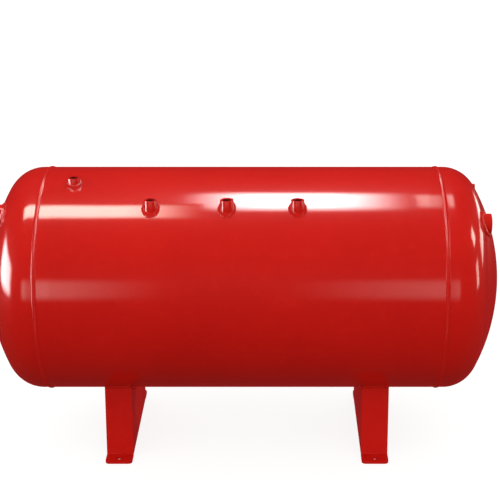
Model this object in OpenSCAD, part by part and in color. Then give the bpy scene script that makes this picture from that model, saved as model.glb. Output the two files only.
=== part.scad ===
// Horizontal welded air receiver: rolled shell, two dished heads, threaded
// sockets and two welded plate supports. Millimetres, +Z up, axis along X.
// The origin is on the floor, under the middle of the vessel.

/* [Vessel] */
// Outside diameter of the shell
shell_od = 500; // [460:5:540]
// Length of the shell between the two girth seams
shell_len = 866; // [800:2:1100]
// Plate thickness of the shell and heads
plate_t = 4; // [3:0.5:6]
// Length of the straight flange on each head
flange_len = 16; // [10:1:30]
// Height of the vessel axis above the floor
axis_height = 380; // [360:2:420]
// Crown radius of a head, as a share of the shell diameter
crown_ratio = 0.85; // [0.8:0.05:1]
// Knuckle radius of a head, as a share of the shell diameter
knuckle_ratio = 0.15; // [0.14:0.01:0.2]

/* [Welds] */
// Width of the girth and seam weld beads
bead_w = 11; // [8:1:14]
// Height of the girth and seam weld beads
bead_h = 2.4; // [1.5:0.1:3.5]
// How far a fillet weld reaches along the plate
fillet_leg = 7; // [5:0.5:9]
// Angle of the long shell seam from the top towards the rear
seam_angle = 70; // [40:5:100]
// Width of the backing rings inside the girth seams
backing_w = 30; // [20:2:40]
// Thickness of the backing rings
backing_t = 3; // [2:0.5:4]

/* [Sockets] */
// Outside diameter of the half-inch sockets
socket_od = 28; // [26:1:32]
// Radius of the half-inch socket thread at its crests
socket_bore_r = 9.3; // [8.5:0.1:10]
// Height of a front socket above the plate, on its own axis
socket_rise = 21; // [14:1:30]
// Distance of the front row of sockets from the centre line
socket_row_y = 140; // [100:5:160]
// Place of the inlet socket along the vessel
inlet_x = -193; // [-260:1:-120]
// Place of the switch socket along the vessel
switch_x = -31; // [-80:1:40]
// Place of the outlet socket along the vessel
outlet_x = 119; // [80:1:200]
// Place of the safety valve socket along the vessel
safety_x = -364; // [-380:1:-300]
// Distance of the safety valve socket from the centre line
safety_y = 68; // [0:2:100]
// Height of the safety valve socket above the plate
safety_rise = 15; // [12:1:24]
// Length of the drain socket below the plate
drain_drop = 16; // [10:1:24]

/* [Head bosses] */
// Outside diameter of the one-inch bosses on the heads
boss_od = 44; // [40:1:50]
// Radius of the one-inch boss thread at its crests
boss_bore_r = 15.15; // [13:0.05:16]
// Distance of a boss's face from the head's tangent line
boss_face = 89; // [88:1:100]
// Distance of the left boss from the centre line
boss_y_left = 80; // [60:5:90]
// Height of the left boss above the vessel axis
boss_z_left = 175; // [160:1:178]
// Distance of the right boss from the centre line
boss_y_right = 100; // [60:5:110]
// Height of the right boss above the vessel axis
boss_z_right = 161; // [155:1:170]
// Diameter of the earth lug on the right head
lug_d = 14; // [10:1:18]

/* [Supports] */
// Distance between the middles of the two supports
support_pitch = 576; // [500:2:640]
// How far the pair of supports stands off the vessel's middle
support_shift = 8; // [0:1:12]
// Width of a leg
leg_w = 60; // [50:1:70]
// Plate thickness of legs and webs
leg_t = 6; // [5:0.5:8]
// Distance of a leg's outer face from the centre line, at the foot
leg_y = 147; // [130:1:160]
// Lean of the legs towards each other
leg_lean = 5; // [0:1:10]
// Length of a foot beyond its leg
foot_len = 36; // [28:1:45]
// Diameter of the bolt hole in each foot
foot_hole_d = 12; // [9:0.5:14]
// Corner radius of the feet
foot_corner_r = 9; // [4:1:14]
// Height of the web's lower edge above the floor
web_clear = 3; // [2:1:20]

/* [Hidden] */
$fn = 64;
big_fn = 160;
paint = [0.72, 0.09, 0.07];
shell_r = shell_od / 2;
crown_r = crown_ratio * shell_od;
knuckle_r = knuckle_ratio * shell_od;
knuckle_c = shell_r - knuckle_r;
crown_drop = sqrt(pow(crown_r - knuckle_r, 2) - pow(knuckle_c, 2));
head_depth = crown_r - crown_drop;
join_angle = asin(knuckle_c / (crown_r - knuckle_r));
seam_x = shell_len / 2;
tangent_x = seam_x + flange_len;
socket_r = socket_od / 2;
boss_r = boss_od / 2;
// Clearance between a socket and its hole, which the weld closes
hole_gap = 0.2;
// How far a socket passes through the plate
socket_inside = 2;
fillet_h = fillet_leg - 1;
lug_y = 72;
lug_z = 192;
lug_face = 77;
left_x = support_shift - support_pitch / 2;
right_x = support_shift + support_pitch / 2;
lean = tan(leg_lean);
heel_r = 8;
bend_r = 2;
foot_hole_y = leg_y + foot_len / 2 + 1;
overcut = 1;
// How far cutting tools stand clear of the surface they cut
reach_past = 40;
// Half of the angle that a web's weld runs over, seen from the vessel axis
web_weld_half = 29;

// Height of the shell's surface above its axis, at a distance from the centre line
function rise_at(y, r = shell_r) = sqrt(r * r - y * y);

// Height of a head's crown above the tangent line, at a radius from its axis
function crown_at(rho, r = crown_r) = rise_at(rho, r) - crown_drop;

// Turns +Z to point along +X for side = 1, or along -X for side = -1
module along_x(side = 1) rotate([0, side * 90, 0]) children();

module on_axis(x = 0) translate([x, 0, axis_height]) children();

// Solid round bar on the vessel axis
module axis_bar(r, from_x, to_x) {
    on_axis(from_x) along_x() cylinder(h = to_x - from_x, r = r, $fn = big_fn);
}

// Half outline of a dished head, with an inner skin at inset > 0
module dish_outline(inset = 0) {
    r = crown_r - inset;
    reach = crown_r + reach_past;
    translate([0, -flange_len - (inset > 0 ? overcut : 0)])
        square([shell_r - inset, flange_len + (inset > 0 ? overcut : 0)]);
    intersection() {
        translate([0, -crown_drop]) circle(r = r, $fn = 720);
        polygon([[0, 0], [knuckle_c, 0],
            [reach * sin(join_angle), reach * cos(join_angle) - crown_drop],
            [0, reach - crown_drop]]);
    }
    intersection() {
        translate([knuckle_c, 0]) circle(r = knuckle_r - inset, $fn = 180);
        translate([knuckle_c - knuckle_r / 4, 0]) square(2 * knuckle_r);
    }
}

// Solid dish, its tangent line at z = 0, its crown along +Z
module dish_solid(inset = 0) rotate_extrude($fn = big_fn) dish_outline(inset);

// Full ball whose cap is the crown of a head
module crown_ball(side) on_axis(side * (tangent_x - crown_drop)) sphere(r = crown_r, $fn = 480);

// Bore or boss on a head, its axis along the vessel
module head_bar(side, y, z, r, from_x, to_x) {
    translate([side * from_x, -y, axis_height + z]) along_x(side) cylinder(h = to_x - from_x, r = r);
}

module head(side, boss_y, boss_z) {
    difference() {
        on_axis(side * tangent_x) along_x(side) difference() {
            dish_solid();
            dish_solid(plate_t);
        }
        head_bar(side, boss_y, boss_z, boss_r + hole_gap, tangent_x + reach_past, tangent_x + 2 * head_depth);
    }
}

// Cross-section of a raised weld bead on a surface at height base
module bead_outline(base) {
    r = (bead_w * bead_w / 4 + bead_h * bead_h) / (2 * bead_h);
    intersection() {
        translate([base + bead_h - r, 0]) circle(r = r);
        translate([base, -bead_w]) square([2 * bead_h, 2 * bead_w]);
    }
}

module girth_weld(side) {
    on_axis(side * seam_x) along_x() rotate_extrude($fn = big_fn) bead_outline(shell_r);
}

module backing_ring(side) {
    on_axis(side * seam_x - backing_w / 2) along_x() difference() {
        cylinder(h = backing_w, r = shell_r - plate_t, $fn = big_fn);
        translate([0, 0, -overcut])
            cylinder(h = backing_w + 2 * overcut, r = shell_r - plate_t - backing_t, $fn = big_fn);
    }
}

// Upright hole or bar through the shell's wall
module upright_bar(x, y, r, low_z, high_z) {
    translate([x, -y, axis_height + low_z]) cylinder(h = high_z - low_z, r = r);
}

// Lowest inner point of the plate round a socket
function socket_low(y) = rise_at(y + socket_r, shell_r - plate_t) - socket_inside;

module socket(x, y, rise) {
    top = rise_at(y) + rise;
    difference() {
        upright_bar(x, y, socket_r, socket_low(y), top);
        upright_bar(x, y, socket_bore_r, socket_low(y) - overcut, top + overcut);
    }
}

// Fillet weld round a socket, square to the plate under it
module socket_fillet(x, y) {
    foot_r = socket_r / cos(asin(y / shell_r)) + fillet_leg;
    difference() {
        on_axis(x) rotate([asin(y / shell_r), 0, 0]) translate([0, 0, shell_r - 2])
            cylinder(h = fillet_h + 2, r1 = foot_r + 1, r2 = foot_r - fillet_leg + 1);
        axis_bar(shell_r, x - 2 * foot_r, x + 2 * foot_r);
        upright_bar(x, y, socket_r, 0, shell_od);
    }
}

module drain_bar(r, from_z, to_z) {
    translate([0, 0, axis_height - to_z]) cylinder(h = to_z - from_z, r = r);
}

// Depth of a boss's inner end, just inside the plate at its outermost point
function boss_inner(y, z) = crown_at(norm([y, z]) + boss_r, crown_r - plate_t) - 2 * socket_inside;

module head_boss(side, y, z) {
    low = tangent_x + boss_inner(y, z);
    high = tangent_x + boss_face;
    difference() {
        head_bar(side, y, z, boss_r, low, high);
        head_bar(side, y, z, boss_bore_r, low - overcut, high + overcut);
    }
}

// Fillet weld round a head boss, square to the crown under it
module boss_fillet(side, y, z) {
    rho = norm([y, z]);
    tilt = asin(rho / crown_r);
    foot_r = boss_r / cos(tilt) + fillet_leg;
    difference() {
        on_axis(side * (tangent_x - crown_drop)) along_x(side)
            rotate([0, 0, atan2(-y, -side * z)])
            rotate([0, tilt, 0]) translate([0, 0, crown_r - 2])
            cylinder(h = fillet_h + 2, r1 = foot_r + 1, r2 = foot_r - fillet_leg + 1);
        crown_ball(side);
        head_bar(side, y, z, boss_r, tangent_x, tangent_x + 2 * head_depth);
    }
}

// Side outline of a leg with its foot, in (distance from centre line, height)
module leg_outline() {
    heel_y = leg_y - leg_t / cos(leg_lean) + lean * leg_t;
    arc_y = heel_y - lean * heel_r + heel_r / cos(leg_lean);
    difference() {
        union() {
            polygon([[heel_y, 0], [leg_y, 0], [leg_y, leg_t],
                [leg_y - lean * (axis_height - leg_t), axis_height],
                [heel_y - lean * axis_height, axis_height]]);
            translate([heel_y, 0]) square([leg_y + foot_len - heel_y, leg_t]);
            translate([leg_y - lean * bend_r, leg_t]) difference() {
                translate([-bend_r, -bend_r]) square(2 * bend_r);
                translate([bend_r, bend_r]) circle(r = bend_r);
            }
        }
        difference() {
            polygon([[arc_y, heel_r], [arc_y, -overcut], [heel_y - 4, -overcut],
                [heel_y - 4, heel_r * (1 - sin(leg_lean))],
                [arc_y - heel_r * cos(leg_lean), heel_r * (1 - sin(leg_lean))]]);
            translate([arc_y, heel_r]) circle(r = heel_r);
        }
    }
}

// Tool that rounds one outer corner of a foot
module corner_tool(x_side) {
    edge_x = x_side * leg_w / 2;
    tip_y = leg_y + foot_len;
    translate([0, 0, -overcut]) linear_extrude(leg_t + 2 * overcut) difference() {
        translate([edge_x - (x_side > 0 ? foot_corner_r : overcut), tip_y - foot_corner_r])
            square(foot_corner_r + overcut);
        translate([edge_x - x_side * foot_corner_r, tip_y - foot_corner_r])
            circle(r = foot_corner_r);
    }
}

// One leg at x = 0, standing on the +Y side
module plain_leg() {
    difference() {
        rotate([90, 0, 90]) translate([0, 0, -leg_w / 2]) linear_extrude(leg_w) leg_outline();
        axis_bar(shell_r, -leg_w, leg_w);
        translate([0, foot_hole_y, -overcut])
            cylinder(h = leg_t + 2 * overcut, d = foot_hole_d);
        for (x_side = [-1, 1]) corner_tool(x_side);
        on_axis() translate([-leg_w, -shell_r, 0]) cube([2 * leg_w, shell_od, shell_r]);
    }
}

// Places the leg of one support on the front (-1) or rear (1)
module leg(x, y_side) translate([x, 0, 0]) mirror([0, y_side < 0 ? 1 : 0, 0]) plain_leg();

// Plate between a support's two legs, on its side towards the vessel's middle
module support_web(x, inner) {
    low_y = leg_y - leg_t / cos(leg_lean) + lean * leg_t - lean * web_clear;
    high_y = low_y - lean * (axis_height - shell_r / 2 - web_clear);
    difference() {
        translate([x + (inner > 0 ? leg_w / 2 - leg_t : -leg_w / 2), 0, 0])
            rotate([90, 0, 90]) linear_extrude(leg_t)
            polygon([[-low_y, web_clear], [low_y, web_clear],
                [high_y, axis_height - shell_r / 2], [-high_y, axis_height - shell_r / 2]]);
        axis_bar(shell_r, x - leg_w, x + leg_w);
    }
}

// Fillets that join one support to the shell: along the web, and over each leg
module support_welds(x, inner) {
    web_face = x + inner * leg_w / 2;
    size = fillet_leg - 1;
    on_axis(web_face) along_x(inner) rotate([0, 0, inner > 0 ? -web_weld_half : 180 - web_weld_half])
        rotate_extrude(angle = 2 * web_weld_half, $fn = big_fn)
        polygon([[shell_r, 0], [shell_r + size, 0], [shell_r, size]]);
    for (y_side = [-1, 1]) leg_top_weld(x, y_side, size);
}

module leg_top_weld(x, y_side, size) {
    base = leg_y + lean * leg_t - lean * axis_height;
    // Where the leg's outer face meets the shell, below the vessel axis
    drop = (-base * lean + sqrt(shell_r * shell_r * (1 + lean * lean) - base * base))
        / (1 + lean * lean);
    y = base + lean * drop;
    difference() {
        translate([x - leg_w / 2 + 1, y_side * y, axis_height - drop]) along_x()
            cylinder(h = leg_w - 2, r = size);
        axis_bar(shell_r, x - leg_w, x + leg_w);
        leg_block(x, y_side);
    }
}

// Everything on the inner side of a leg's outer face
module leg_block(x, y_side) {
    top_y = leg_y - lean * (axis_height - leg_t);
    translate([x, 0, 0]) mirror([0, y_side < 0 ? 1 : 0, 0])
        rotate([90, 0, 90]) translate([0, 0, -leg_w]) linear_extrude(2 * leg_w)
        polygon([[0, leg_t], [leg_y, leg_t], [top_y, axis_height], [0, axis_height]]);
}

module shell() color(paint) difference() {
    axis_bar(shell_r, -seam_x, seam_x);
    axis_bar(shell_r - plate_t, -seam_x - overcut, seam_x + overcut);
    upright_bar(safety_x, safety_y, socket_r + hole_gap, shell_r / 2, shell_od);
    for (x = [inlet_x, switch_x, outlet_x])
        upright_bar(x, socket_row_y, socket_r + hole_gap, shell_r / 2, shell_od);
    drain_bar(socket_r + hole_gap, shell_r / 2, shell_r + overcut);
}
module head_left() color(paint) head(-1, boss_y_left, boss_z_left);
module head_right() color(paint) head(1, boss_y_right, boss_z_right);
module girth_weld_left() color(paint) girth_weld(-1);
module girth_weld_right() color(paint) girth_weld(1);
module backing_ring_left() color("dimgray") backing_ring(-1);
module backing_ring_right() color("dimgray") backing_ring(1);
module shell_seam_weld() color(paint) {
    seam_end = seam_x - bead_w / 2;
    on_axis(-seam_end) rotate([-seam_angle, 0, 0]) along_x()
        linear_extrude(2 * seam_end) mirror([1, 0]) difference() {
            bead_outline(shell_r - 0.1);
            circle(r = shell_r, $fn = 720);
        }
}
module safety_valve_socket() color(paint) socket(safety_x, safety_y, safety_rise);
module inlet_socket() color(paint) socket(inlet_x, socket_row_y, socket_rise);
module switch_socket() color(paint) socket(switch_x, socket_row_y, socket_rise);
module outlet_socket() color(paint) socket(outlet_x, socket_row_y, socket_rise);
module drain_socket() color(paint) difference() {
    low = rise_at(socket_r, shell_r - plate_t) - socket_inside;
    drain_bar(socket_r, low, shell_r + drain_drop);
    drain_bar(socket_bore_r, low - overcut, shell_r + drain_drop + overcut);
}
module safety_valve_socket_weld() color(paint) socket_fillet(safety_x, safety_y);
module inlet_socket_weld() color(paint) socket_fillet(inlet_x, socket_row_y);
module switch_socket_weld() color(paint) socket_fillet(switch_x, socket_row_y);
module outlet_socket_weld() color(paint) socket_fillet(outlet_x, socket_row_y);
module drain_socket_weld() color(paint) translate([0, 0, 2 * axis_height]) mirror([0, 0, 1])
    socket_fillet(0, 0);
module head_boss_left() color(paint) head_boss(-1, boss_y_left, boss_z_left);
module head_boss_right() color(paint) head_boss(1, boss_y_right, boss_z_right);
module head_boss_weld_left() color(paint) boss_fillet(-1, boss_y_left, boss_z_left);
module head_boss_weld_right() color(paint) boss_fillet(1, boss_y_right, boss_z_right);
module earth_lug() color(paint) difference() {
    head_bar(1, -lug_y, lug_z, lug_d / 2, tangent_x + head_depth / 2, tangent_x + lug_face);
    crown_ball(1);
}
module support_web_left() color(paint) support_web(left_x, 1);
module support_web_right() color(paint) support_web(right_x, -1);
module front_leg_left() color(paint) leg(left_x, -1);
module rear_leg_left() color(paint) leg(left_x, 1);
module front_leg_right() color(paint) leg(right_x, -1);
module rear_leg_right() color(paint) leg(right_x, 1);
module support_welds_left() color(paint) support_welds(left_x, 1);
module support_welds_right() color(paint) support_welds(right_x, -1);

shell();
head_left();
head_right();
girth_weld_left();
girth_weld_right();
backing_ring_left();
backing_ring_right();
shell_seam_weld();
safety_valve_socket();
inlet_socket();
switch_socket();
outlet_socket();
drain_socket();
safety_valve_socket_weld();
inlet_socket_weld();
switch_socket_weld();
outlet_socket_weld();
drain_socket_weld();
head_boss_left();
head_boss_right();
head_boss_weld_left();
head_boss_weld_right();
earth_lug();
support_web_left();
support_web_right();
front_leg_left();
rear_leg_left();
front_leg_right();
rear_leg_right();
support_welds_left();
support_welds_right();
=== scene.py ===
"""Looks of the air receiver tank: red enamel, rippled weld beads, threaded sockets, soft light."""
import math
import bpy
import bmesh
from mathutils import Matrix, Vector


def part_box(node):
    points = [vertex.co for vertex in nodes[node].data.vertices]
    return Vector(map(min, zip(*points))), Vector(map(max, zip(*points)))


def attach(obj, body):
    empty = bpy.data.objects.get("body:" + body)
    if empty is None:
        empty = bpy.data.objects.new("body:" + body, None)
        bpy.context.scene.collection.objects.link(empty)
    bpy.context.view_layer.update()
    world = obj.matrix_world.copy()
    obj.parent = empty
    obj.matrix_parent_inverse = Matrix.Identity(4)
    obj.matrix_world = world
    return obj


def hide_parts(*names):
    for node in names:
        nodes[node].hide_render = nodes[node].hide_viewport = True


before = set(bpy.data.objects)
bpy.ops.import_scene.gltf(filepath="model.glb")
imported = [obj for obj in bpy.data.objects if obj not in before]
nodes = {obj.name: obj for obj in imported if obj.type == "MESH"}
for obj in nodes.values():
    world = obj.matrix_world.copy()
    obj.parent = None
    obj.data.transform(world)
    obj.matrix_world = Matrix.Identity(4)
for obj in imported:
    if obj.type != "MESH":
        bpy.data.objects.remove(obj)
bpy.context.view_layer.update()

MM = 0.001
TAU = 2 * math.pi


# ---------------------------------------------------------------- sizes from the frame

def size_of(node):
    """Lowest corner, highest corner and middle of a CAD node."""
    low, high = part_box(node)
    low, high = Vector(low), Vector(high)
    return low, high, (low + high) / 2


shell_low, shell_high, shell_mid = size_of("shell")
R = (shell_high.z - shell_low.z) / 2
AXIS_Z = shell_mid.z
SEAM_X = shell_high.x
FLANGE = 16 * MM
TANGENT_X = SEAM_X + FLANGE
CROWN_R = 1.7 * R
KNUCKLE_R = 0.3 * R
KNUCKLE_C = R - KNUCKLE_R
CROWN_DROP = math.sqrt((CROWN_R - KNUCKLE_R) ** 2 - KNUCKLE_C ** 2)
JOIN_RHO = CROWN_R * KNUCKLE_C / (CROWN_R - KNUCKLE_R)
BEAD_W = 11 * MM
BEAD_H = 2.3 * MM
FILLET = 7 * MM
SEAM_ANGLE = math.radians(70)
LEG_Y = 147 * MM
LEG_T = 6 * MM
LEG_LEAN = math.tan(math.radians(5))
BEAD_PITCH = 4.4 * MM
FILLET_PITCH = 3.4 * MM
WEB_FILLET = 5.6 * MM
WEB_RIPPLES = 78
LEG_FILLET = 5.4 * MM
LEG_RIPPLES = 14
HALF_INCH = {"bore": 9.3 * MM, "pitch": 1.814 * MM, "depth": 1.1 * MM, "steps": 56}
ONE_INCH = {"bore": 15.15 * MM, "pitch": 2.309 * MM, "depth": 1.4 * MM, "steps": 72}
SOCKETS = ["safety_valve_socket", "inlet_socket", "switch_socket", "outlet_socket"]
LEGS = ["front_leg_left", "rear_leg_left", "front_leg_right", "rear_leg_right"]
WEBS = ["support_web_left", "support_web_right"]


# ---------------------------------------------------------------- camera

CAMERA_FOOT_X = 0.071
CAMERA_DISTANCE = 2.925
CAMERA_ELEVATION = math.radians(21)
# The optical axis passes a little above the vessel's axis
CAMERA_PITCH = CAMERA_ELEVATION - math.radians(1.19)


def make_camera():
    data = bpy.data.cameras.new("camera")
    data.lens = 92.4
    data.sensor_width = 36
    data.shift_x = -0.05
    cam = bpy.data.objects.new("camera", data)
    bpy.context.collection.objects.link(cam)
    cam.location = (
        CAMERA_FOOT_X,
        -CAMERA_DISTANCE * math.cos(CAMERA_ELEVATION),
        AXIS_Z + CAMERA_DISTANCE * math.sin(CAMERA_ELEVATION),
    )
    cam.rotation_euler = (math.pi / 2 - CAMERA_PITCH, 0, 0)
    bpy.context.scene.camera = cam


# ---------------------------------------------------------------- materials

class Graph:
    """A material's node tree with short calls for the nodes that the finishes share."""

    def __init__(self, name):
        self.material = bpy.data.materials.new(name)
        self.material.use_nodes = True
        self.tree = self.material.node_tree
        self.shader = self.tree.nodes["Principled BSDF"]
        self.place = self.tree.nodes.new("ShaderNodeTexCoord").outputs["Object"]

    def link(self, source, target):
        self.tree.links.new(source, target)

    def put(self, socket, value):
        if hasattr(value, "links"):
            self.link(value, socket)
        else:
            socket.default_value = value

    def math(self, kind, a, b=0.0, clamp=False):
        node = self.tree.nodes.new("ShaderNodeMath")
        node.operation = kind
        node.use_clamp = clamp
        self.put(node.inputs[0], a)
        self.put(node.inputs[1], b)
        return node.outputs[0]

    def noise(self, scale, detail=2.0, rough=0.5, stretch=None):
        place = self.place
        if stretch:
            shift = self.tree.nodes.new("ShaderNodeMapping")
            shift.inputs["Scale"].default_value = stretch
            self.link(place, shift.inputs["Vector"])
            place = shift.outputs["Vector"]
        node = self.tree.nodes.new("ShaderNodeTexNoise")
        node.inputs["Scale"].default_value = scale
        node.inputs["Detail"].default_value = detail
        node.inputs["Roughness"].default_value = rough
        self.link(place, node.inputs["Vector"])
        return node.outputs["Fac"]

    def ramp(self, value, low, high, out_low=0.0, out_high=1.0):
        node = self.tree.nodes.new("ShaderNodeMapRange")
        node.inputs["From Min"].default_value = low
        node.inputs["From Max"].default_value = high
        node.inputs["To Min"].default_value = out_low
        node.inputs["To Max"].default_value = out_high
        self.link(value, node.inputs["Value"])
        return node.outputs["Result"]

    def mix(self, factor, a, b):
        node = self.tree.nodes.new("ShaderNodeMix")
        node.data_type = "RGBA"
        self.put(node.inputs["Factor"], factor)
        self.put(node.inputs["A"], a)
        self.put(node.inputs["B"], b)
        return node.outputs["Result"]

    def bump(self, height, distance, strength=1.0, under=None):
        node = self.tree.nodes.new("ShaderNodeBump")
        node.inputs["Distance"].default_value = distance
        node.inputs["Strength"].default_value = strength
        self.link(height, node.inputs["Height"])
        if under is not None:
            self.link(under, node.inputs["Normal"])
        return node.outputs["Normal"]

    def axis(self, letter):
        node = self.tree.nodes.new("ShaderNodeSeparateXYZ")
        self.link(self.place, node.inputs[0])
        return node.outputs[letter]


RED = (0.62, 0.0084, 0.0044, 1)
RED_DEEP = (0.55, 0.0064, 0.0036, 1)
RED_WARM = (0.66, 0.0125, 0.0052, 1)


def enamel(name, roughness, coat, wave, peel=0.5, sag=0.0):
    """Sprayed red enamel with orange peel, over the wave and the seam sag of the plate."""
    g = Graph(name)
    cloud = g.noise(3.2, 3.0)
    mist = g.noise(46.0, 4.0, 0.6)
    tone = g.mix(g.ramp(cloud, 0.35, 0.68), RED_DEEP, RED)
    tone = g.mix(g.ramp(mist, 0.5, 0.85, 0.0, 0.5), tone, RED_WARM)
    g.link(tone, g.shader.inputs["Base Color"])
    dust = g.ramp(g.noise(210.0, 3.0, 0.65), 0.42, 0.78, roughness, roughness + 0.14)
    g.link(dust, g.shader.inputs["Roughness"])
    g.shader.inputs["IOR"].default_value = 1.5
    g.shader.inputs["Specular IOR Level"].default_value = 0.05
    g.shader.inputs["Coat Weight"].default_value = coat
    g.shader.inputs["Coat Roughness"].default_value = 0.065
    g.shader.inputs["Coat IOR"].default_value = 1.5
    under = seam_sag(g, sag) if sag else None
    plate = g.bump(g.noise(5.5, 1.0, 0.4, stretch=(0.7, 1.6, 1.6)), wave, under=under)
    peel_height = g.noise(330.0, 2.0, 0.5)
    skin = g.bump(peel_height, 0.00003, peel, under=plate)
    g.link(skin, g.shader.inputs["Coat Normal"])
    g.link(skin, g.shader.inputs["Normal"])
    return g


def seam_sag(g, wave):
    """Adds the shallow draw-in of the plate on both sides of a girth weld to a finish."""
    off = g.math("ABSOLUTE", g.axis("X"))
    off = g.math("ABSOLUTE", g.math("SUBTRACT", off, SEAM_X))
    dip = g.ramp(off, 0.0, 0.032, 0.0, 1.0)
    dip = g.math("POWER", dip, 0.6, clamp=True)
    return g.bump(dip, wave)


def vessel_paint():
    return enamel("vessel_paint", 0.30, 1.0, 0.0006, sag=0.0011).material


def support_paint():
    return enamel("support_paint", 0.42, 0.55, 0.0003, 0.8).material


def weld_paint():
    """Enamel over a weld bead, with fine spatter."""
    g = enamel("weld_paint", 0.34, 0.9, 0.0001, 0.8)
    spatter = g.noise(700.0, 2.0, 0.6)
    extra = g.bump(g.ramp(spatter, 0.6, 0.75), 0.00012)
    g.link(extra, g.shader.inputs["Normal"])
    return g.material


def thread_steel_painted_shade():
    """Cut thread in dark red-brown blotched by noise: partly oily steel, partly painted shade inside the
    socket bore.
    """
    g = Graph("thread_steel_painted_shade")
    grime = g.noise(240.0, 4.0, 0.6)
    # Both tones are kept near-black: painted shade inside the socket bore.
    tone = g.mix(g.ramp(grime, 0.35, 0.7), (0.07, 0.010, 0.009, 1), (0.20, 0.013, 0.010, 1))
    g.link(tone, g.shader.inputs["Base Color"])
    g.shader.inputs["Metallic"].default_value = 0.35
    g.link(g.ramp(grime, 0.3, 0.8, 0.35, 0.7), g.shader.inputs["Roughness"])
    g.link(g.bump(grime, 0.00005), g.shader.inputs["Normal"])
    return g.material


def mill_steel():
    """Unpainted hot-rolled strip with mill scale."""
    g = Graph("mill_steel")
    scale = g.noise(60.0, 6.0, 0.65)
    tone = g.mix(g.ramp(scale, 0.35, 0.7), (0.10, 0.095, 0.10, 1), (0.24, 0.21, 0.19, 1))
    g.link(tone, g.shader.inputs["Base Color"])
    g.shader.inputs["Metallic"].default_value = 0.7
    g.link(g.ramp(scale, 0.3, 0.75, 0.4, 0.75), g.shader.inputs["Roughness"])
    g.link(g.bump(scale, 0.0001), g.shader.inputs["Normal"])
    return g.material


def floor_paint():
    g = Graph("floor_paint")
    cloud = g.noise(1.4, 3.0)
    tone = g.mix(g.ramp(cloud, 0.3, 0.7), (0.19, 0.19, 0.19, 1), (0.215, 0.215, 0.21, 1))
    g.link(tone, g.shader.inputs["Base Color"])
    g.shader.inputs["Roughness"].default_value = 0.8
    g.shader.inputs["Specular IOR Level"].default_value = 0.2
    g.shader.inputs["Emission Color"].default_value = (1, 1, 1, 1)
    g.shader.inputs["Emission Strength"].default_value = 0.86
    return g.material


# ---------------------------------------------------------------- meshes

def piece(name, mesh, material, slot, *stands_for):
    """Puts a finished mesh in the scene as a piece of the vessel that stands for CAD nodes."""
    obj = bpy.data.objects.new(name, mesh)
    bpy.context.collection.objects.link(obj)
    mesh.materials.append(material)
    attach(obj, "root")
    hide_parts(*stands_for)
    return obj


def ring_mesh(name, rings, closed_path=True):
    """A closed tube through rings of points; every ring is a closed cross-section."""
    mesh = bpy.data.meshes.new(name)
    count, width = len(rings), len(rings[0])
    points = [p for ring in rings for p in ring]
    faces = []
    for i in range(count if closed_path else count - 1):
        j = (i + 1) % count
        for k in range(width):
            m = (k + 1) % width
            faces.append((i * width + k, j * width + k, j * width + m, i * width + m))
    if not closed_path:
        faces.append(tuple(range(width)))
        faces.append(tuple(reversed(range((count - 1) * width, count * width))))
    mesh.from_pydata(points, [], faces)
    bm = bmesh.new()
    bm.from_mesh(mesh)
    bmesh.ops.recalc_face_normals(bm, faces=bm.faces)
    bm.to_mesh(mesh)
    bm.free()
    mesh.polygons.foreach_set("use_smooth", [True] * len(mesh.polygons))
    return mesh


def wobble(t, seed, waves=(3, 7, 11)):
    """Smooth closed irregularity between -1 and 1 along a seam, t from 0 to 1."""
    return sum(math.sin(TAU * (w * t + seed * (0.37 * k + 0.21))) for k, w in enumerate(waves)) / len(waves)


def bead_ring(base, normal, side, width, height, phase, profile=13):
    """Cross-section of a raised bead: a low crown with the crescent ripple of the weld pool."""
    ring = []
    for k in range(profile):
        b = 2 * k / (profile - 1) - 1
        crest = max(0.0, 1 - abs(b) ** 2.2)
        ripple = 0.5 + 0.5 * math.sin(TAU * (phase + 0.55 * b * b))
        lift = height * crest * (0.66 + 0.34 * ripple) - 0.25 * MM
        ring.append(base + side * (b * width / 2) + normal * lift)
    ring.append(base + side * (width / 2) - normal * 0.6 * MM)
    ring.append(base - side * (width / 2) - normal * 0.6 * MM)
    return ring


def girth_bead(name, x, seed):
    ripples = round(TAU * R / BEAD_PITCH)
    steps = ripples * 7
    rings = []
    for i in range(steps):
        t = i / steps
        angle = TAU * t
        normal = Vector((0, math.sin(angle), math.cos(angle)))
        base = Vector((x + 0.5 * MM * wobble(t, seed), 0, AXIS_Z)) + normal * R
        width = BEAD_W * (0.93 + 0.05 * wobble(t, seed + 2, (13, 29, 41)))
        height = BEAD_H * (0.94 + 0.06 * wobble(t, seed + 5, (5, 17, 23)))
        rings.append(bead_ring(base, normal, Vector((1, 0, 0)), width, height, t * ripples))
    return ring_mesh(name, rings)


def straight_bead(name):
    half = SEAM_X - BEAD_W / 2
    ripples = round(2 * half / BEAD_PITCH)
    steps = ripples * 6
    normal = Vector((0, math.sin(SEAM_ANGLE), math.cos(SEAM_ANGLE)))
    side = Vector((0, math.cos(SEAM_ANGLE), -math.sin(SEAM_ANGLE)))
    rings = []
    for i in range(steps + 1):
        t = i / steps
        base = Vector((-half + 2 * half * t, 0, AXIS_Z)) + normal * R
        width = BEAD_W * (0.93 + 0.05 * wobble(t, 4, (9, 19, 31)))
        rings.append(bead_ring(base, normal, side, width, BEAD_H, t * ripples))
    return ring_mesh(name, rings, closed_path=False)


def fillet_ring(root, along, up, leg, phase, normal, profile=10):
    """Cross-section of a fillet, from its toe on the plate over a crowned face to its toe on the part."""
    ring = []
    for k in range(profile):
        s = k / (profile - 1) * math.pi / 2
        ripple = 1 + 0.10 * math.sin(TAU * (phase + 0.35 * math.sin(2 * s))) * math.sin(2 * s)
        a = leg * math.cos(s) ** 1.25 * ripple
        b = leg * math.sin(s) ** 1.25 * ripple
        ring.append(root + along * a + up * b - normal * 0.25 * MM)
    ring.append(root - normal * 0.8 * MM)
    return ring


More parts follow.
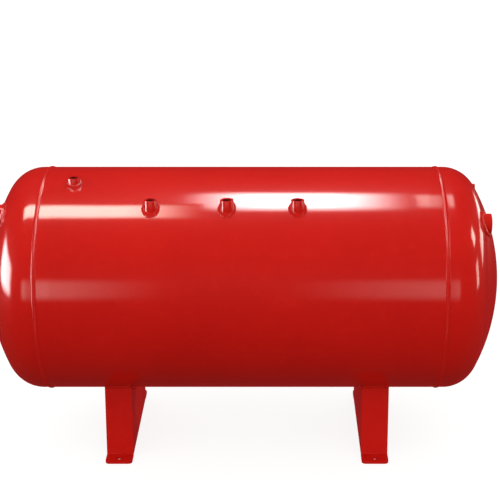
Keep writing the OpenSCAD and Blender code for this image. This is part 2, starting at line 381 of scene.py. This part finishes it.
def around(name, radius, point_at, up, seed, leg=FILLET * 0.86):
    """Fillet round a tube. point_at gives the plate's point and normal at an angle."""
    ripples = round(TAU * (radius + 3 * MM) / FILLET_PITCH)
    steps = ripples * 8
    rings = []
    for i in range(steps):
        t = i / steps
        point, normal, away = point_at(TAU * t)
        along = (away - normal * away.dot(normal)).normalized()
        size = leg * (1 + 0.10 * wobble(t, seed, (2, 3, 5)))
        rings.append(fillet_ring(point, along, up, size, t * ripples, normal))
    return ring_mesh(name, rings)


def shell_point(cx, cy, radius, sign):
    """Where an upright tube meets the shell, above (1) or below (-1) the vessel's axis."""
    def at(angle):
        away = Vector((math.cos(angle), math.sin(angle), 0))
        y = cy + radius * away.y
        rise = math.sqrt(R * R - y * y)
        normal = Vector((0, y, sign * rise)) / R
        return Vector((cx + radius * away.x, y, AXIS_Z + sign * rise)), normal, away
    return at


def head_surface(y, z, side):
    """Point and normal of a dished head at (y, z) from the vessel's axis."""
    rho = math.hypot(y, z)
    if rho < JOIN_RHO:
        out = math.sqrt(CROWN_R ** 2 - rho * rho)
        x = out - CROWN_DROP
        normal = Vector((side * out, y, z)) / CROWN_R
    else:
        lean = rho - KNUCKLE_C
        x = math.sqrt(max(0.0, KNUCKLE_R ** 2 - lean * lean))
        normal = Vector((side * x, y / rho * lean, z / rho * lean)) / KNUCKLE_R
    return Vector((side * (TANGENT_X + x), y, AXIS_Z + z)), normal


def head_point(cy, cz, radius, side):
    def at(angle):
        away = Vector((0, math.cos(angle), math.sin(angle)))
        point, normal = head_surface(cy + radius * away.y, cz - AXIS_Z + radius * away.z, side)
        return point, normal, away
    return at


def threaded_tube(name, start, direction, length, radius, thread):
    """A turned socket: chamfered rim, and a helical pipe thread down its bore."""
    steps = thread["steps"]
    rim, mouth = 0.9 * MM, 1.6 * MM
    rows_per_turn = 8
    inner_rows = int((length - 2 * mouth) / thread["pitch"] * rows_per_turn)
    axis = direction.normalized()
    side = axis.orthogonal().normalized()
    other = axis.cross(side)
    outline = [(0, radius - rim), (rim, radius), (length - rim, radius),
               (length - 0.3 * rim, radius - 0.25 * rim), (length, radius - rim),
               (length, thread["bore"] + thread["depth"] * 0.9), (length - mouth, thread["bore"])]
    rings = []
    for k in range(steps):
        angle = TAU * k / steps
        out = side * math.cos(angle) + other * math.sin(angle)
        ring = [start + axis * h + out * r for h, r in outline]
        for i in range(inner_rows + 1):
            h = length - mouth - (length - 2 * mouth) * i / inner_rows
            turn = (h / thread["pitch"] - k / steps) % 1
            groove = 1 - abs(2 * turn - 1)
            fade = min(1.0, i / rows_per_turn, (inner_rows - i) / rows_per_turn)
            ring.append(start + axis * h + out * (thread["bore"] + thread["depth"] * groove * fade))
        ring.append(start + out * (thread["bore"] + thread["depth"]))
        rings.append(ring)
    mesh = ring_mesh(name, rings)
    width = len(rings[0])
    first_inner = len(outline) - 1
    index = [1 if first_inner <= f % width < width - 1 else 0 for f in range(len(mesh.polygons))]
    return mesh, index


def socket_piece(node, direction, thread, paint, steel):
    low, high, mid = size_of(node)
    length = abs((high - low).dot(direction))
    start = mid - direction * length / 2
    cross = [high[i] - low[i] for i in range(3) if abs(direction[i]) < 0.5]
    mesh, index = threaded_tube(node + "_turned", start, direction, length, max(cross) / 2, thread)
    piece(node + "_turned", mesh, paint, "red_paint", node)
    mesh.materials.append(steel)
    mesh.polygons.foreach_set("material_index", index)
    mesh.set_sharp_from_angle(angle=math.radians(38))


# ---------------------------------------------------------------- CAD nodes that stay

def smooth_by(mesh, normal_at):
    """Shades the curved faces of a plate with the true normals of its surface."""
    normals = []
    for poly in mesh.polygons:
        true = normal_at(poly.center)
        match = poly.normal.dot(true)
        for index in poly.vertices:
            if abs(match) > 0.9:
                normals.append(normal_at(mesh.vertices[index].co) * (1 if match > 0 else -1))
            else:
                normals.append(poly.normal.copy())
    mesh.polygons.foreach_set("use_smooth", [True] * len(mesh.polygons))
    mesh.normals_split_custom_set(normals)


def shell_normal(point):
    return Vector((0, point.y, point.z - AXIS_Z)).normalized()


def head_normal(point):
    side = 1 if point.x > 0 else -1
    y, z = point.y, point.z - AXIS_Z
    if abs(point.x) < TANGENT_X:
        return shell_normal(point)
    rho = math.hypot(y, z)
    depth = abs(point.x) - TANGENT_X
    if rho * (CROWN_R - KNUCKLE_R) < KNUCKLE_C * (depth + CROWN_DROP):
        return Vector((side * (depth + CROWN_DROP), y, z)).normalized()
    lean = rho - KNUCKLE_C
    return Vector((side * depth, y / rho * lean, z / rho * lean)).normalized()


def finish_node(node, material):
    obj = nodes[node]
    obj.data.materials.clear()
    obj.data.materials.append(material)
    return obj


def soften_edges(obj, width):
    """Rounds the cut edges of a plate under its paint."""
    obj.data.polygons.foreach_set("use_smooth", [True] * len(obj.data.polygons))
    obj.data.set_sharp_from_angle(angle=math.radians(30))
    bevel = obj.modifiers.new("edge", "BEVEL")
    bevel.width = width
    bevel.segments = 2
    bevel.limit_method = "ANGLE"
    bevel.angle_limit = math.radians(40)


# ---------------------------------------------------------------- studio

def panel(name, place, aim, size, radiance, tint=(1, 1, 1), soft=(0.3, 0.3), fill=False):
    """A rectangular light at place, facing aim, that fades out towards its edges.

    radiance is what its middle shows in a reflection. A fill light shows in no reflection,
    and every other light shows in reflections only.
    """
    data = bpy.data.lights.new(name, "AREA")
    data.shape = "RECTANGLE"
    data.size, data.size_y = size
    data.energy = radiance * math.pi * size[0] * size[1]
    data.color = tint
    data.use_nodes = True
    fade_edges(data.node_tree, soft)
    obj = bpy.data.objects.new(name, data)
    bpy.context.collection.objects.link(obj)
    obj.location = place
    obj.rotation_euler = (Vector(aim) - Vector(place)).to_track_quat("-Z", "Y").to_euler()
    show(obj, fill)
    return obj


def show(light, fill):
    light.visible_camera = False
    light.visible_glossy = not fill
    light.visible_diffuse = fill


def fade_edges(tree, soft):
    """Lets a light fade over a share of its half width and half height."""
    emission = tree.nodes["Emission"]
    where = tree.nodes.new("ShaderNodeNewGeometry")
    split = tree.nodes.new("ShaderNodeSeparateXYZ")
    tree.links.new(where.outputs["Parametric"], split.inputs[0])
    steps = []
    for letter, share in zip("XY", soft):
        off = tree.nodes.new("ShaderNodeMath")
        off.operation = "SUBTRACT"
        off.inputs[1].default_value = 0.5
        tree.links.new(split.outputs[letter], off.inputs[0])
        size = tree.nodes.new("ShaderNodeMath")
        size.operation = "ABSOLUTE"
        tree.links.new(off.outputs[0], size.inputs[0])
        step = tree.nodes.new("ShaderNodeMapRange")
        step.interpolation_type = "SMOOTHSTEP"
        step.inputs["From Min"].default_value = 0.5
        step.inputs["From Max"].default_value = 0.5 * (1 - share) - 0.001
        tree.links.new(size.outputs[0], step.inputs["Value"])
        steps.append(step.outputs["Result"])
    both = tree.nodes.new("ShaderNodeMath")
    both.operation = "MULTIPLY"
    tree.links.new(steps[0], both.inputs[0])
    tree.links.new(steps[1], both.inputs[1])
    tree.links.new(both.outputs[0], emission.inputs["Strength"])


def make_world():
    """Pale surroundings for the camera and diffuse light; reflections see a dim hall, red behind."""
    world = bpy.data.worlds.new("studio")
    bpy.context.scene.world = world
    world.use_nodes = True
    tree = world.node_tree
    tree.nodes.clear()
    out = tree.nodes.new("ShaderNodeOutputWorld")
    path = tree.nodes.new("ShaderNodeLightPath")
    place = tree.nodes.new("ShaderNodeTexCoord")
    split = tree.nodes.new("ShaderNodeSeparateXYZ")
    tree.links.new(place.outputs["Generated"], split.inputs[0])
    lift = tree.nodes.new("ShaderNodeMapRange")
    lift.inputs["From Min"].default_value = -1
    lift.inputs["From Max"].default_value = 1
    lift.inputs["To Min"].default_value = 0.10
    lift.inputs["To Max"].default_value = 1.36
    tree.links.new(split.outputs["Z"], lift.inputs["Value"])
    soft = tree.nodes.new("ShaderNodeBackground")
    soft.inputs["Color"].default_value = (1, 0.985, 0.97, 1)
    tree.links.new(lift.outputs["Result"], soft.inputs["Strength"])
    behind = tree.nodes.new("ShaderNodeMapRange")
    behind.inputs["From Min"].default_value = 0.1
    behind.inputs["From Max"].default_value = 0.8
    tree.links.new(split.outputs["Y"], behind.inputs["Value"])
    shade = tree.nodes.new("ShaderNodeMix")
    shade.data_type = "RGBA"
    shade.inputs["A"].default_value = (0.03, 0.026, 0.024, 1)
    shade.inputs["B"].default_value = (0.36, 0.018, 0.018, 1)
    tree.links.new(behind.outputs["Result"], shade.inputs["Factor"])
    hall = tree.nodes.new("ShaderNodeBackground")
    tree.links.new(shade.outputs["Result"], hall.inputs["Color"])
    pale = tree.nodes.new("ShaderNodeBackground")
    pale.inputs["Color"].default_value = (0.985, 0.985, 0.985, 1)
    inner = tree.nodes.new("ShaderNodeMixShader")
    tree.links.new(path.outputs["Is Glossy Ray"], inner.inputs[0])
    tree.links.new(soft.outputs[0], inner.inputs[1])
    tree.links.new(hall.outputs[0], inner.inputs[2])
    outer = tree.nodes.new("ShaderNodeMixShader")
    tree.links.new(path.outputs["Is Camera Ray"], outer.inputs[0])
    tree.links.new(inner.outputs[0], outer.inputs[1])
    tree.links.new(pale.outputs[0], outer.inputs[2])
    tree.links.new(outer.outputs[0], out.inputs[0])


def make_floor():
    mesh = bpy.data.meshes.new("floor")
    bm = bmesh.new()
    bmesh.ops.create_circle(bm, cap_ends=True, segments=96, radius=40)
    bm.to_mesh(mesh)
    bm.free()
    mesh.materials.append(floor_paint())
    floor = bpy.data.objects.new("floor", mesh)
    bpy.context.collection.objects.link(floor)
    floor.visible_glossy = False
    floor.visible_diffuse = False


def make_lights():
    cream, warm = (1, 0.92, 0.8), (1, 0.93, 0.86)
    roof = AXIS_Z + R + 2.0
    panel("roof_left", (-0.84, -0.12, roof), (-0.84, -0.12, 0), (1.3, 0.76), 17, cream, (0.5, 0.55))
    panel("roof_mid", (0.15, 0.43, roof), (0.15, 0.43, 0), (0.92, 1.2), 30, (1, 1, 1), (0.85, 0.6))
    panel("roof_right", (0.52, 0.43, roof), (0.52, 0.43, 0), (0.95, 0.95), 6, warm, (0.9, 0.6))
    panel("front_left", (-1.75, -5.0, 1.1), (-1.75, 0, 1.1), (2.5, 2.4), 2.4, warm, (0.85, 0.7))
    panel("front_right", (1.35, -5.0, 1.1), (1.35, 0, 1.1), (2.6, 2.4), 1.4, warm, (0.85, 0.7))
    panel("left_door", (-1.25, -0.26, 0.55), (-0.3, -0.26, 0.55), (0.86, 0.52), 16, (1, 1, 1), (0.6, 0.5))
    panel("right_strip", (3.5, 2.4, 0.55), (0.5, -0.1, 0.5), (2.8, 1.0), 4, warm)
    panel("right_high", (3.5, 0.0, 2.1), (0.5, -0.2, 0.5), (0.9, 0.9), 12, cream, (0.6, 0.4))
    panel("right_low", (3.5, -0.3, 0.6), (0.5, -0.2, 0.5), (0.8, 1.1), 6, cream, (0.6, 0.4))
    panel("front_fill", (0.2, -5.0, 2.0), (0, 0, 0.35), (4.0, 3.0), 0.7, warm, (0.3, 0.3), fill=True)
    panel("left_fill", (-3.2, -1.6, 2.2), (-0.4, 0, 0.5), (1.6, 1.6), 1.8, warm, (0.3, 0.3), fill=True)
    web_spot((0.9, -0.5, 0.06), (-0.25, 0, 0.08))


def web_spot(place, aim):
    """A narrow beam under the vessel onto the inner face of the left support."""
    data = bpy.data.lights.new("web_spot", "SPOT")
    data.energy = 17
    data.spot_size = math.radians(8)
    data.spot_blend = 0.6
    data.shadow_soft_size = 0.02
    obj = bpy.data.objects.new("web_spot", data)
    bpy.context.collection.objects.link(obj)
    obj.location = place
    obj.rotation_euler = (Vector(aim) - Vector(place)).to_track_quat("-Z", "Y").to_euler()
    show(obj, fill=True)


# ---------------------------------------------------------------- assembly

def build():
    vessel = vessel_paint()
    weld = weld_paint()
    support = support_paint()
    steel = thread_steel_painted_shade()
    scale = mill_steel()

    smooth_by(finish_node("shell", vessel).data, shell_normal)
    for node in ("head_left", "head_right"):
        smooth_by(finish_node(node, vessel).data, head_normal)
    for node in ("backing_ring_left", "backing_ring_right"):
        smooth_by(finish_node(node, scale).data, shell_normal)
    for node in LEGS + WEBS:
        soften_edges(finish_node(node, support), 0.5 * MM)
    soften_edges(finish_node("earth_lug", vessel), 0.6 * MM)

    for seed, (node, x) in enumerate((("girth_weld_left", -SEAM_X), ("girth_weld_right", SEAM_X))):
        piece(node + "_bead", girth_bead(node + "_bead", x, seed + 1), weld, "painted_weld", node)
    piece("shell_seam_bead", straight_bead("shell_seam_bead"), weld, "painted_weld", "shell_seam_weld")

    up, down = Vector((0, 0, 1)), Vector((0, 0, -1))
    for seed, node in enumerate(SOCKETS + ["drain_socket"]):
        sign = -1 if node == "drain_socket" else 1
        way = up if sign > 0 else down
        low, high, mid = size_of(node)
        radius = (high.x - low.x) / 2
        socket_piece(node, way, HALF_INCH, vessel, steel)
        mesh = around(node + "_bead", radius, shell_point(mid.x, mid.y, radius, sign), way, seed + 3)
        piece(node + "_bead", mesh, weld, "painted_weld", node + "_weld")

    for node, side in (("head_boss_left", -1), ("head_boss_right", 1)):
        way = Vector((side, 0, 0))
        low, high, mid = size_of(node)
        radius = (high.z - low.z) / 2
        socket_piece(node, way, ONE_INCH, vessel, steel)
        mesh = around(node + "_bead", radius, head_point(mid.y, mid.z, radius, side), way, side + 7)
        piece(node + "_bead", mesh, weld, "painted_weld", node.replace("boss", "boss_weld"))

    support_beads(weld)


def support_beads(weld):
    """Rippled fillets along each web and over each leg."""
    for node, inner, web, front in (("support_welds_left", 1, "support_web_left", "front_leg_left"),
                                    ("support_welds_right", -1, "support_web_right", "front_leg_right")):
        web_low, web_high, _ = size_of(web)
        face_x = web_high.x if inner > 0 else web_low.x
        sweep = math.asin((web_high.y - 12 * MM) / R)
        steps = 480
        rings = []
        for i in range(steps + 1):
            t = i / steps
            angle = (2 * t - 1) * sweep
            normal = Vector((0, math.sin(angle), -math.cos(angle)))
            root = Vector((face_x, 0, AXIS_Z)) + normal * R
            size = WEB_FILLET * (1 + 0.08 * wobble(t, 3, (4, 9, 15)))
            rings.append(fillet_ring(root, Vector((inner, 0, 0)), normal, size, t * WEB_RIPPLES, normal))
        mesh = ring_mesh(node + "_bead", rings, closed_path=False)
        piece(node + "_bead", mesh, weld, "painted_weld", node)
        for y_side in (-1, 1):
            leg_bead(node, front, y_side, weld)


def leg_bead(node, leg, y_side, weld):
    """The fillet between a leg's outer face and the shell."""
    low, high, _ = size_of(leg)
    base = LEG_Y + LEG_LEAN * (LEG_T - AXIS_Z)
    slope = 1 + LEG_LEAN * LEG_LEAN
    drop = (math.sqrt(R * R * slope - base * base) - base * LEG_LEAN) / slope
    y = base + LEG_LEAN * drop
    root_y, root_z = y_side * y, AXIS_Z - drop
    normal = Vector((0, y_side * y, -drop)) / R
    down = Vector((0, y_side * LEG_LEAN, -1)).normalized()
    tangent = Vector((0, y_side * drop, y)) / R
    steps = 112
    rings = []
    for i in range(steps + 1):
        t = i / steps
        root = Vector((low.x + 1.5 * MM + (high.x - low.x - 3 * MM) * t, root_y, root_z))
        size = LEG_FILLET * (1 + 0.08 * wobble(t, y_side + 5, (2, 3, 5)))
        rings.append(fillet_ring(root, tangent, down, size, t * LEG_RIPPLES, normal))
    name = node + ("_front" if y_side < 0 else "_rear") + "_bead"
    obj = bpy.data.objects.new(name, ring_mesh(name, rings, closed_path=False))
    bpy.context.collection.objects.link(obj)
    obj.data.materials.append(weld)
    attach(obj, "root")


bpy.context.scene.view_settings.view_transform = "Standard"
make_camera()
make_world()
make_floor()
make_lights()
build()
